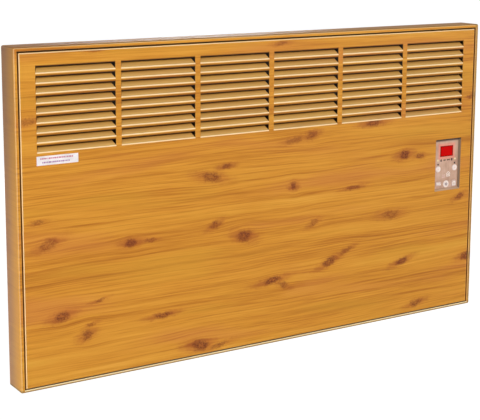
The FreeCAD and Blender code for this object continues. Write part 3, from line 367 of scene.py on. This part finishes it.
# ---------------------------------------------------------------- other finishes
def zinc_sheet(name, tone):
    """Galvanised steel: a faint crystal pattern and rolled streaks."""
    zinc = Finish(name)
    place = zinc.place()
    flakes = zinc.add("ShaderNodeTexVoronoi", None, {"Vector": place, "Scale": 130.0}, out=1)
    flake = zinc.split(flakes)[0]
    rolled = zinc.noise(zinc.stretch(place, (6.0, 6.0, 240.0)), 1.0, 3.0)
    shade = flake * 0.22 + rolled * 0.25 + 0.62
    colour = zinc.blend(shade.step(0.6, 1.05), tuple(c * 0.72 for c in tone), tone)
    return zinc.surface(Base_Color=colour, Metallic=0.85, Roughness=shade.step(0.6, 1.05, 0.52, 0.34),
                        Normal=zinc.bump(shade, 0.15, 0.0002))


def drawn_metal(name, tone, roughness=0.32, axis=0):
    """Drawn or turned metal with fine lines along one axis."""
    metal = Finish(name)
    stretch = [900.0, 900.0, 900.0]
    stretch[axis] = 12.0
    place = metal.place()
    lines = metal.noise(metal.stretch(place, tuple(stretch)), 1.0, 2.0)
    stain = metal.noise(place, 45.0, 3.0)
    colour = metal.blend(stain.step(0.35, 0.7), tone, tuple(c * 0.7 for c in tone))
    return metal.surface(Base_Color=colour, Metallic=1.0,
                         Roughness=lines.step(0.3, 0.7, roughness - 0.08, roughness + 0.1),
                         Normal=metal.bump(lines, 0.2, 0.00005))


def moulded(name, tone, roughness=0.45, grain=1400.0, depth=0.00004):
    """Moulded plastic or rubber with a fine spark texture."""
    plastic = Finish(name)
    place = plastic.place()
    spark = plastic.noise(place, grain, 2.0)
    cloud = plastic.noise(place, 60.0, 3.0)
    colour = plastic.blend(cloud.step(0.3, 0.75), tone, tuple(c * 0.8 for c in tone))
    dull = spark.step(0.3, 0.7, roughness - 0.05, roughness + 0.08)
    return plastic.surface(Base_Color=colour, Roughness=dull, Normal=plastic.bump(spark, 0.3, depth))


def circuit_board(name):
    """Green solder mask over copper tracks."""
    board = Finish(name)
    place = board.place()
    x, _, z = board.split(place)
    track = ((x * 900.0).sin() * (z * 700.0).sin()) > 0.35
    colour = board.blend(track * 0.5, srgb(24, 92, 48), srgb(60, 140, 74))
    gloss = board.noise(place, 500.0).step(0.3, 0.7, 0.3, 0.42)
    return board.surface(Base_Color=colour, Roughness=gloss)


# ---------------------------------------------------------------- the control unit
over_low, over_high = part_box("control_overlay")
lens_low, lens_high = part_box("display_window")
OVERLAY_MID = (over_low + over_high) / 2
LENS_MID = (lens_low + lens_high) / 2


def overlay_film(name):
    """Silver-beige printed film: vertical brushing, a rosy band round the lens, painted shade at its edges
    and top.
    """
    film = Finish(name)
    place = film.place()
    x, _, z = film.split(place)
    brushed = film.noise(film.stretch(place, (1500.0, 60.0, 30.0)), 1.0, 2.0)
    cloud = film.noise(place, 55.0, 2.0)
    colour = film.ramp(brushed * 0.3 + cloud * 0.7, [
        (0.3, srgb(180, 138, 114)), (0.5, srgb(204, 164, 140)), (0.7, srgb(220, 184, 164)),
    ])
    half_w = (lens_high.x - lens_low.x) / 2
    half_h = (lens_high.z - lens_low.z) / 2
    off_x = abs(x - LENS_MID.x) - half_w
    off_z = abs(z - LENS_MID.z) - half_h
    glow = off_x.most(off_z).step(0.0065, 0.0005)
    colour = film.blend(glow * 0.75, colour, srgb(244, 140, 118))
    # painted shade where the film meets the recess walls
    edge_x = (over_high.x - over_low.x) / 2 - abs(x - OVERLAY_MID.x)
    edge_z = (over_high.z - over_low.z) / 2 - abs(z - OVERLAY_MID.z)
    colour = film.blend(edge_x.least(edge_z).step(0.0022, 0.0) * 0.5, colour, srgb(140, 108, 84))
    # painted shadow under the opening's upper edge
    eave_painted_shadow = z.step(over_high.z - 3.4 * MM, over_high.z - 1.0 * MM)
    colour = film.blend(eave_painted_shadow * 0.8, colour, srgb(62, 46, 34))
    return film.surface(Base_Color=colour, Metallic=0.15, Roughness=brushed.step(0.3, 0.7, 0.28, 0.4))


def red_lens(name):
    """Red filter over a lit display: brighter in the middle, darker towards its frame."""
    lens = Finish(name)
    x, _, z = lens.split(lens.place())
    off_x = abs(x - LENS_MID.x) / ((lens_high.x - lens_low.x) / 2)
    off_z = abs(z - LENS_MID.z) / ((lens_high.z - lens_low.z) / 2)
    rim = off_x.most(off_z).step(0.72, 1.0)
    cells = (x * 2400.0).sin() * 0.08
    colour = lens.blend(rim + cells, srgb(188, 3, 3), srgb(112, 3, 2))
    return lens.surface(Base_Color=colour, Roughness=0.35, Specular_IOR_Level=0.04,
                        Emission_Color=colour, Emission_Strength=0.2)


def bezel_plastic(name):
    """Brown moulding round the control unit: painted shade on its downward faces and under the opening's
    upper edge, a painted light tone on its upward faces.
    """
    plastic = Finish(name)
    nz = plastic.normal()[2]
    place = plastic.place()
    z = plastic.split(place)[2]
    spark = plastic.noise(place, 1400.0, 2.0)
    colour = plastic.blend(spark, srgb(112, 88, 66), srgb(136, 108, 82))
    # painted shade on downward faces and a painted light tone on upward faces
    colour = plastic.blend(nz.step(-0.3, -0.7), colour, srgb(34, 22, 10))
    colour = plastic.blend(nz.step(0.3, 0.7), colour, srgb(206, 172, 140))
    # painted shadow under the opening's upper edge
    eave_painted_shadow = z.step(over_high.z - 2.0 * MM, over_high.z + 0.5 * MM)
    colour = plastic.blend(eave_painted_shadow * 0.85, colour, srgb(40, 28, 18))
    return plastic.surface(Base_Color=colour, Roughness=spark.step(0.3, 0.7, 0.4, 0.55),
                           Normal=plastic.bump(spark, 0.3, 0.00004))


# ---------------------------------------------------------------- mesh helpers
def new_piece(name, mesh_maker, material, body):
    """Makes a mesh piece, paints it and lets it ride on a body."""
    mesh = bpy.data.meshes.new(name)
    shape = bmesh.new()
    mesh_maker(shape)
    bmesh.ops.recalc_face_normals(shape, faces=shape.faces)
    shape.to_mesh(mesh)
    shape.free()
    piece = bpy.data.objects.new(name, mesh)
    bpy.context.scene.collection.objects.link(piece)
    piece.data.materials.append(material)
    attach(piece, body)
    return piece


def slab(shape, outline, y_front, thick):
    """A flat raised shape from an (x, z) outline; its face looks towards -Y."""
    front = [shape.verts.new((x, y_front, z)) for x, z in outline]
    back = [shape.verts.new((x, y_front + thick, z)) for x, z in outline]
    shape.faces.new(front)
    shape.faces.new(back[::-1])
    count = len(outline)
    for i in range(count):
        j = (i + 1) % count
        shape.faces.new((front[j], front[i], back[i], back[j]))


def box_outline(x, z, width, height):
    return [(x - width / 2, z - height / 2), (x + width / 2, z - height / 2),
            (x + width / 2, z + height / 2), (x - width / 2, z + height / 2)]


def round_outline(x, z, radius, steps=24):
    turns = [2 * math.pi * i / steps for i in range(steps)]
    return [(x + radius * math.cos(a), z + radius * math.sin(a)) for a in turns]


def arc_band(shape, x, z, inner, outer, start, end, y_front, thick, steps=20):
    """Part of a flat ring between two angles in degrees."""
    angles = [math.radians(start + (end - start) * i / steps) for i in range(steps + 1)]
    outer_edge = [(x + outer * math.cos(a), z + outer * math.sin(a)) for a in angles]
    inner_edge = [(x + inner * math.cos(a), z + inner * math.sin(a)) for a in reversed(angles)]
    slab(shape, outer_edge + inner_edge, y_front, thick)


# ---------------------------------------------------------------- dress the CAD nodes
pine = pine_coat("pine_grain_coat")
zinc = zinc_sheet("galvanised_sheet", srgb(190, 192, 194))
bracket_zinc = zinc_sheet("bracket_zinc", srgb(176, 178, 182))
bright_zinc = drawn_metal("bright_zinc", srgb(206, 206, 200), 0.28, 1)
white_button = moulded("white_button_plastic", srgb(250, 232, 222), 0.35)
pale_button = moulded("pale_button_plastic", srgb(222, 192, 178), 0.4)
rubber = moulded("black_rubber", srgb(36, 36, 36), 0.7, 700.0, 0.0001)
black = moulded("black_plastic", srgb(30, 30, 31), 0.45)
cream = moulded("cream_plastic", srgb(226, 220, 200), 0.45)
sleeve = moulded("wire_sleeve", srgb(120, 44, 34), 0.55)
brass = drawn_metal("turned_brass", srgb(212, 172, 92), 0.3, 1)
FINISHES = {
    "casing": pine, "front_panel": pine,
    "back_panel": zinc, "heat_shield": zinc,
    "air_guide": moulded("dark_inner_sheet", srgb(26, 22, 18), 0.6),
    "element_hanger_left": zinc, "element_hanger_right": zinc,
    "wall_bracket_left": bracket_zinc, "wall_bracket_right": bracket_zinc,
    "case_screws": bright_zinc, "board_screws": bright_zinc, "catch_rivets": bright_zinc,
    "panel_clips": drawn_metal("blackened_spring_steel", srgb(44, 38, 32), 0.45),
    "rear_pads": rubber, "cable_gland": black,
    "catch_left": black, "catch_right": black, "display_module": black, "tact_switches": black,
    "hanger_bushes": moulded("red_silicone", srgb(150, 60, 44), 0.6),
    "heating_fins": drawn_metal("extruded_aluminium", srgb(204, 205, 208), 0.3),
    "element_sheath": drawn_metal("tinted_steel", srgb(150, 140, 128), 0.4),
    "end_beads": moulded("white_ceramic", srgb(236, 230, 218), 0.5, 900.0),
    "terminal_pins": bright_zinc, "terminal_screws": brass, "earth_stud": brass, "earth_nut": brass,
    "terminal_block": cream, "wire_clips": cream, "sensor_clip": cream,
    "cutout_clip": zinc, "thermal_cutout": drawn_metal("pressed_cap", srgb(180, 180, 178), 0.3, 1),
    "room_sensor": black, "long_wire": sleeve, "short_wire": sleeve, "board_wire": sleeve,
    "control_bezel": bezel_plastic("brown_bezel_plastic"),
    "control_overlay": overlay_film("overlay_film"),
    "display_window": red_lens("red_lens"),
    "indicator_leds": moulded("lamp_lens", srgb(248, 226, 178), 0.2),
    "minus_button": white_button, "plus_button": white_button, "power_button": white_button,
    "mode_button": pale_button, "timer_button": pale_button,
    "control_board": circuit_board("board_green"),
    "relay": moulded("relay_blue", srgb(60, 96, 168), 0.35),
    "transformer": moulded("coil_tape", srgb(210, 172, 70), 0.4),
    "rating_plate": drawn_metal("plate_foil", srgb(176, 178, 184), 0.42),
    "info_sticker": moulded("sticker_film", srgb(246, 238, 238), 0.3),
}
for node_name, finish in FINISHES.items():
    paint(nodes[node_name], finish)


# ---------------------------------------------------------------- printed marks
PRINT = 0.05 * MM            # thickness of a printed mark
OVERLAY_TOP = over_high.z
BAR_GAP = 0.7 * MM
sign_ink = moulded("dark_sign_ink", srgb(58, 26, 18), 0.4)
white_ink = moulded("white_sign_ink", srgb(252, 240, 232), 0.35)
rose_ink = moulded("rose_sign_ink", srgb(238, 200, 188), 0.35)
mauve_ink = moulded("mauve_sign_ink", srgb(132, 104, 112), 0.4)


def print_on(node, name, maker, material, body):
    """A thin mark on the front face of a node; maker(shape, x, z, y) gets the face's centre."""
    low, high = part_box(node)
    middle = (low + high) / 2

    def build(shape):
        maker(shape, middle.x, middle.z, low.y - PRINT)

    return new_piece(name, build, material, body)


def bars(shape, x, z, width, height, rows, seed, y):
    """Rows of short bars of uneven length, ragged at the right."""
    draw = random.Random(seed)
    pitch = height / rows
    for row in range(rows):
        left = x - width / 2 + draw.uniform(0.0, 0.08) * width
        right = x + width / 2 - draw.uniform(0.0, 0.12) * width
        mid_z = z + height / 2 - (row + 0.5) * pitch
        while left < right - 1.0 * MM:
            long = min(draw.uniform(0.8 * MM, 3.2 * MM), right - left)
            slab(shape, box_outline(left + long / 2, mid_z, long, pitch * 0.55), y, PRINT)
            left += long + BAR_GAP


def sign_row(shape, x, z, y):
    """Four small signs in a row under the lens: a drop, a bar, two dots and a ring."""
    row_z = OVERLAY_TOP - 32.0 * MM
    at = [x + step * MM for step in (-11.0, -3.9, 3.9, 11.0)]
    slab(shape, round_outline(at[0], row_z - 0.5 * MM, 1.6 * MM), y, PRINT)
    slab(shape, box_outline(at[0] + 0.2 * MM, row_z + 1.3 * MM, 1.2 * MM, 1.6 * MM), y, PRINT)
    slab(shape, box_outline(at[1], row_z, 4.6 * MM, 1.7 * MM), y, PRINT)
    for side in (-1, 1):
        slab(shape, round_outline(at[2] + side * 1.5 * MM, row_z, 1.25 * MM), y, PRINT)
    arc_band(shape, at[3], row_z, 0.5 * MM, 2.1 * MM, 20, 340, y, PRINT)


def button_dots(shape, x, z, y):
    """A dark dot above each of the two round buttons."""
    for node in ("minus_button", "plus_button"):
        low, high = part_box(node)
        slab(shape, round_outline((low.x + high.x) / 2, high.z + 2.0 * MM, 1.5 * MM), y, PRINT)


def warm_sign(shape, x, z, y):
    """Three rising strokes over a bar, left of the centre line."""
    sign_z = OVERLAY_TOP - 56.0 * MM
    for step in (-1, 0, 1):
        mid = x - 5.2 * MM + step * 2.4 * MM
        arc_band(shape, mid - 1.1 * MM, sign_z, 1.0 * MM, 1.8 * MM, -60, 60, y, PRINT, 8)
    slab(shape, box_outline(x - 5.2 * MM, sign_z - 3.0 * MM, 7.0 * MM, 1.0 * MM), y, PRINT)


def house_sign(shape, x, z, y):
    """A small house with a round window, right of the centre line."""
    mid_x = x + 4.6 * MM
    mid_z = OVERLAY_TOP - 54.5 * MM
    roof = [(-4.6, 0.4), (0.0, 3.9), (4.6, 0.4), (3.4, 0.4), (0.0, 2.8), (-3.4, 0.4)]
    slab(shape, [(mid_x + a * MM, mid_z + b * MM) for a, b in roof], y, PRINT)
    for side in (-1, 1):
        slab(shape, box_outline(mid_x + side * 3.0 * MM, mid_z - 1.6 * MM, 1.0 * MM, 4.0 * MM), y, PRINT)
    slab(shape, box_outline(mid_x, mid_z - 3.6 * MM, 7.0 * MM, 1.0 * MM), y, PRINT)
    arc_band(shape, mid_x, mid_z - 0.9 * MM, 0.6 * MM, 1.5 * MM, 0, 359, y, PRINT, 20)


def minus_sign(shape, x, z, y):
    slab(shape, box_outline(x, z, 3.8 * MM, 0.7 * MM), y, PRINT)


def plus_sign(shape, x, z, y):
    arm = 1.9 * MM
    thin = 0.35 * MM
    outline = [(-arm, -thin), (-thin, -thin), (-thin, -arm), (thin, -arm), (thin, -thin), (arm, -thin),
               (arm, thin), (thin, thin), (thin, arm), (-thin, arm), (-thin, thin), (-arm, thin)]
    slab(shape, [(x + a, z + b) for a, b in outline], y, PRINT)


def power_sign(shape, x, z, y):
    arc_band(shape, x, z, 1.3 * MM, 2.4 * MM, 125, 415, y, PRINT)
    slab(shape, box_outline(x, z + 1.5 * MM, 0.9 * MM, 2.4 * MM), y, PRINT)


def mode_sign(shape, x, z, y):
    slab(shape, box_outline(x - 0.4 * MM, z + 1.3 * MM, 7.4 * MM, 1.1 * MM), y, PRINT)
    slab(shape, box_outline(x - 1.2 * MM, z - 0.6 * MM, 5.4 * MM, 1.1 * MM), y, PRINT)
    slab(shape, round_outline(x + 3.3 * MM, z - 0.9 * MM, 1.1 * MM), y, PRINT)


def timer_sign(shape, x, z, y):
    arc_band(shape, x, z, 1.9 * MM, 3.1 * MM, 0, 180, y, PRINT)
    for side in (-1, 1):
        slab(shape, box_outline(x + side * 2.5 * MM, z - 1.3 * MM, 1.2 * MM, 2.6 * MM), y, PRINT)
    slab(shape, box_outline(x, z - 3.1 * MM, 7.4 * MM, 1.0 * MM), y, PRINT)
    slab(shape, box_outline(x, z + 0.1 * MM, 0.9 * MM, 2.4 * MM), y, PRINT)


def rating_print():
    """Back plate: a ruled frame with rows of short bars and an earth sign, printed dark on foil."""
    ink = moulded("plate_ink", srgb(40, 42, 48), 0.5)
    low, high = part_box("rating_plate")
    wide, tall = high.x - low.x, high.z - low.z
    mid_x, mid_z = (low.x + high.x) / 2, (low.z + high.z) / 2
    face = high.y

    def rules(shape):
        thin = 0.5 * MM
        for side in (-1, 1):
            slab(shape, box_outline(mid_x + side * wide * 0.46, mid_z, thin, tall * 0.88), face, PRINT)
            slab(shape, box_outline(mid_x, mid_z + side * tall * 0.44, wide * 0.92, thin), face, PRINT)
        slab(shape, box_outline(mid_x - wide * 0.12, mid_z, thin, tall * 0.8), face, PRINT)

    def rows(shape):
        bars(shape, mid_x + wide * 0.17, mid_z, wide * 0.5, tall * 0.72, 6, 11, face)

    def earth_sign(shape):
        left = mid_x - wide * 0.29
        arc_band(shape, left, mid_z, 6.0 * MM, 6.7 * MM, 0, 359, face, PRINT, 36)
        for step, reach in ((1.5, 6.0), (0.0, 4.0), (-1.5, 2.0)):
            slab(shape, box_outline(left, mid_z + step * MM, reach * MM, 0.6 * MM), face, PRINT)
        slab(shape, box_outline(left, mid_z + 3.2 * MM, 0.6 * MM, 2.8 * MM), face, PRINT)

    for name, maker in (("plate_rules", rules), ("plate_rows", rows), ("plate_earth_sign", earth_sign)):
        new_piece(name, maker, ink, "heater")


def sticker_line(rise, share, seed):
    """One line of bars on the sticker, at a share of its height from the middle and of its width."""
    low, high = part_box("info_sticker")
    wide, tall = high.x - low.x, high.z - low.z

    def build(shape, x, z, y):
        bars(shape, x, z + rise * tall, wide * share, tall * 0.3, 1, seed, y)

    return build


def printed_marks():
    for name, maker, ink in (
        ("sign_row", sign_row, sign_ink), ("button_dots", button_dots, sign_ink),
        ("warm_sign", warm_sign, rose_ink), ("house_sign", house_sign, white_ink),
    ):
        print_on("control_overlay", name, maker, ink, "heater")
    for node, maker, ink in (
        ("minus_button", minus_sign, rose_ink), ("plus_button", plus_sign, rose_ink),
        ("power_button", power_sign, mauve_ink), ("mode_button", mode_sign, white_ink),
        ("timer_button", timer_sign, white_ink),
    ):
        print_on(node, node.replace("button", "sign"), maker, ink, node)
    plum = moulded("plum_label_ink", srgb(206, 128, 146), 0.4)
    blue = moulded("violet_label_ink", srgb(170, 124, 168), 0.4)
    for name, rise, share, ink, seed in (
        ("sticker_upper_line", 0.22, 0.86, plum, 3), ("sticker_lower_line", -0.2, 0.76, blue, 8),
    ):
        print_on("info_sticker", name, sticker_line(rise, share, seed), ink, "heater")


printed_marks()
rating_print()


# ---------------------------------------------------------------- studio
FLOOR_DROP = 0.30
FLOOR_SIZE = 12.0
FLOOR_GLOW = 1.15            # how bright and how much of the floor is lit paper to look at
FLOOR_GLOW_SHARE = 0.85
AIR_SEEN = 1.1               # brightness of the air to look at, and as a light
AIR_HORIZON = 0.62
AIR_OVERHEAD = 0.18
LAMPS = {   # place, disc size, power
    "key": ((-1.3, -3.0, 1.5), 2.0, 62.0),
    "fill": ((2.4, -2.4, 0.9), 2.2, 22.0),
    "low": ((-2.6, -0.6, -0.3), 1.0, 16.0),
    "back": ((1.4, 2.6, -0.1), 1.4, 40.0),
}


def studio_air():
    """White to look at; as a light it is brightest at the horizon and dim overhead."""
    world = bpy.data.worlds.new("studio")
    bpy.context.scene.world = world
    world.use_nodes = True
    air = Finish("studio", world)
    height = air.split(air.add("ShaderNodeTexCoord"))[2]
    sockets = {"Value": height, "From Min": 0.0, "From Max": 0.8,
               "To Min": AIR_HORIZON, "To Max": AIR_OVERHEAD}
    light = air.add("ShaderNodeMapRange", None, sockets)
    looked_at = air.add("ShaderNodeLightPath")
    seen = air.add("ShaderNodeMix", None, {0: looked_at, 2: light, 3: AIR_SEEN})
    air.surface(Color=(1, 1, 1), Strength=seen)


def pale_floor():
    """Pale paper that looks evenly lit."""
    pale = Finish("pale_floor")
    cloud = pale.noise(pale.place(), 1.5, 2.0)
    colour = pale.blend(cloud, (0.88, 0.88, 0.88), (0.92, 0.92, 0.92))
    pale.surface(Base_Color=colour, Roughness=0.9)
    lit = pale.add("ShaderNodeEmission", None, {"Color": (1, 1, 1), "Strength": FLOOR_GLOW})
    looked_at = pale.add("ShaderNodeLightPath")
    paper = Field(pale, pale.shader.outputs[0])
    shown = pale.add("ShaderNodeMixShader", None, {0: looked_at * FLOOR_GLOW_SHARE, 1: paper, 2: lit})
    pale.feed(pale.tree.nodes["Material Output"].inputs[0], shown)
    return pale.material


def floor_sheet():
    mesh = bpy.data.meshes.new("floor")
    shape = bmesh.new()
    bmesh.ops.create_grid(shape, x_segments=1, y_segments=1, size=FLOOR_SIZE)
    bmesh.ops.translate(shape, verts=shape.verts, vec=(0, 0, CASE_FOOT - FLOOR_DROP))
    shape.to_mesh(mesh)
    shape.free()
    floor = bpy.data.objects.new("floor", mesh)
    bpy.context.scene.collection.objects.link(floor)
    floor.data.materials.append(pale_floor())


def lamps():
    for name, (place, size, power) in LAMPS.items():
        data = bpy.data.lights.new(name, "AREA")
        data.shape = "DISK"
        data.size = size
        data.energy = power
        lamp = bpy.data.objects.new(name, data)
        lamp.location = place
        lamp.rotation_euler = (-Vector(place)).to_track_quat("-Z", "Y").to_euler()
        bpy.context.scene.collection.objects.link(lamp)


def studio():
    studio_air()
    floor_sheet()
    lamps()
    bpy.context.scene.view_settings.view_transform = "Standard"


# ---------------------------------------------------------------- camera
CAMERA_YAW, CAMERA_PITCH, CAMERA_ROLL = 32.31, -9.62, 0.25   # degrees, yaw from +Y towards +X
CAMERA_PLACE = Vector((CASE_MID_X - 0.9899, RIM_PLANE - 1.4821, CASE_FOOT + 0.6032))
CAMERA_LENS = 95.75
CAMERA_SENSOR = 36.0
CAMERA_SHIFT = -0.147


def camera():
    yaw, pitch, roll = (math.radians(a) for a in (CAMERA_YAW, CAMERA_PITCH, CAMERA_ROLL))
    ahead = Vector((math.sin(yaw) * math.cos(pitch), math.cos(yaw) * math.cos(pitch), math.sin(pitch)))
    right = Vector((math.cos(yaw), -math.sin(yaw), 0))
    up = right.cross(ahead)
    turned_right = right * math.cos(roll) + up * math.sin(roll)
    turned_up = up * math.cos(roll) - right * math.sin(roll)
    data = bpy.data.cameras.new("camera")
    data.sensor_width = CAMERA_SENSOR
    data.lens = CAMERA_LENS
    data.shift_y = CAMERA_SHIFT
    eye = bpy.data.objects.new("camera", data)
    turn = Matrix((turned_right, turned_up, -ahead)).transposed().to_4x4()
    eye.matrix_world = Matrix.Translation(CAMERA_PLACE) @ turn
    bpy.context.scene.collection.objects.link(eye)
    bpy.context.scene.camera = eye


studio()
camera()
